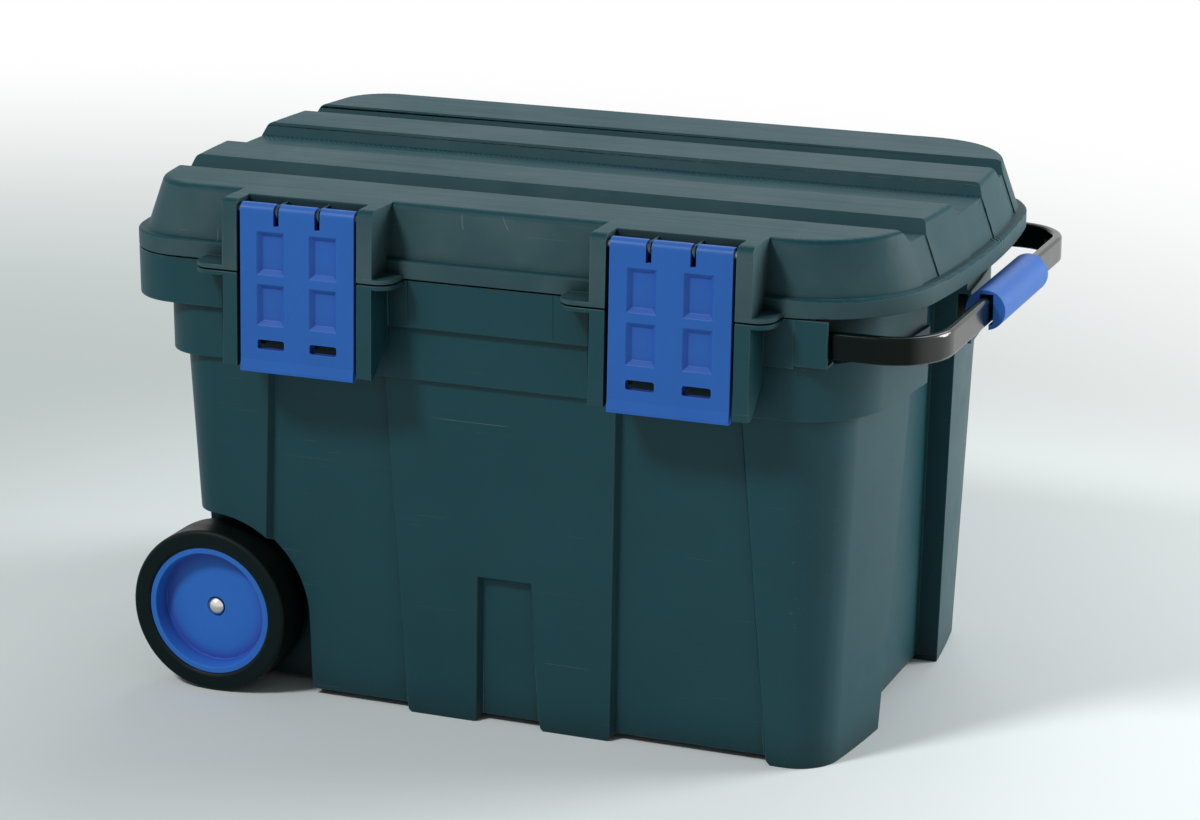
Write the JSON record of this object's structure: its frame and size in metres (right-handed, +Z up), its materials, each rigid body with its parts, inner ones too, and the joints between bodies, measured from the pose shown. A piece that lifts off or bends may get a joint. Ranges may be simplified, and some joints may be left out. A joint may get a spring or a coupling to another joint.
{
  "type": "wheeled storage box",
  "caption": "Wheeled jobsite storage box with a hinged ridged lid, flip latches on the front, wheels at one end and a sliding pull handle with a round grip at the other.",
  "frame": {"origin": "centre of the overall box at its bottom face, on the floor", "axes": "+Z up, the latches face -Y and the hinge is at +Y, +X points to the end with the pull handle"},
  "size_m": [0.6382, 0.4228, 0.385],
  "materials": {
    "body_plastic": "satin, fine grain",
    "blue_plastic": "satin",
    "black_plastic": "satin",
    "tyre_rubber": "matte",
    "black_paint": "gloss powder coat on steel tube",
    "steel": "zinc plated",
    "cap_steel": "bright"
  },
  "bodies": {
    "base": {"base_tub": "body_plastic", "hinge_pin_left": "steel", "hinge_pin_right": "steel", "axle": "steel", "axle_cap_front": "cap_steel", "axle_cap_rear": "cap_steel", "wheel_washer_front": "steel", "wheel_washer_rear": "steel", "handle_guide_front": "body_plastic", "handle_guide_rear": "body_plastic"},
    "lid": {"lid_shell": "body_plastic", "latch_pin_left": "steel", "latch_pin_right": "steel"},
    "latch_left_flap": {"latch_left": "blue_plastic"},
    "latch_right_flap": {"latch_right": "blue_plastic"},
    "wheel_front": {"wheel_hub_front": "blue_plastic", "tyre_front": "tyre_rubber"},
    "wheel_rear": {"wheel_hub_rear": "blue_plastic", "tyre_rear": "tyre_rubber"},
    "pull_handle": {"handle_bar": "black_paint", "handle_grip": "blue_plastic", "arm_shoe_front": "black_plastic", "arm_shoe_rear": "black_plastic", "shoe_rivet_front": "steel", "shoe_rivet_rear": "steel"}
  },
  "joints": [
    {"name": "lid_hinge", "type": "hinge", "parent": "base", "child": "lid", "pos_m": [-0.00958, 0.20492, 0.3326], "axis": [-1, 0, 0], "range_deg": [0, 105]},
    {"name": "latch_left_hinge", "type": "hinge", "parent": "lid", "child": "latch_left_flap", "pos_m": [-0.14965, -0.19908, 0.3774], "axis": [-1, 0, 0], "range_deg": [0, 120]},
    {"name": "latch_right_hinge", "type": "hinge", "parent": "lid", "child": "latch_right_flap", "pos_m": [0.13049, -0.19908, 0.3774], "axis": [-1, 0, 0], "range_deg": [0, 120]},
    {"name": "wheel_front_spin", "type": "hinge", "parent": "base", "child": "wheel_front", "pos_m": [-0.24427, -0.16118, 0.0624], "axis": [0, 1, 0], "continuous": true},
    {"name": "wheel_rear_spin", "type": "hinge", "parent": "base", "child": "wheel_rear", "pos_m": [-0.24427, 0.17402, 0.0624], "axis": [0, 1, 0], "continuous": true},
    {"name": "handle_slide", "type": "slide", "parent": "base", "child": "pull_handle", "axis": [1, 0, 0], "range_m": [0, 0.205]}
  ]
}
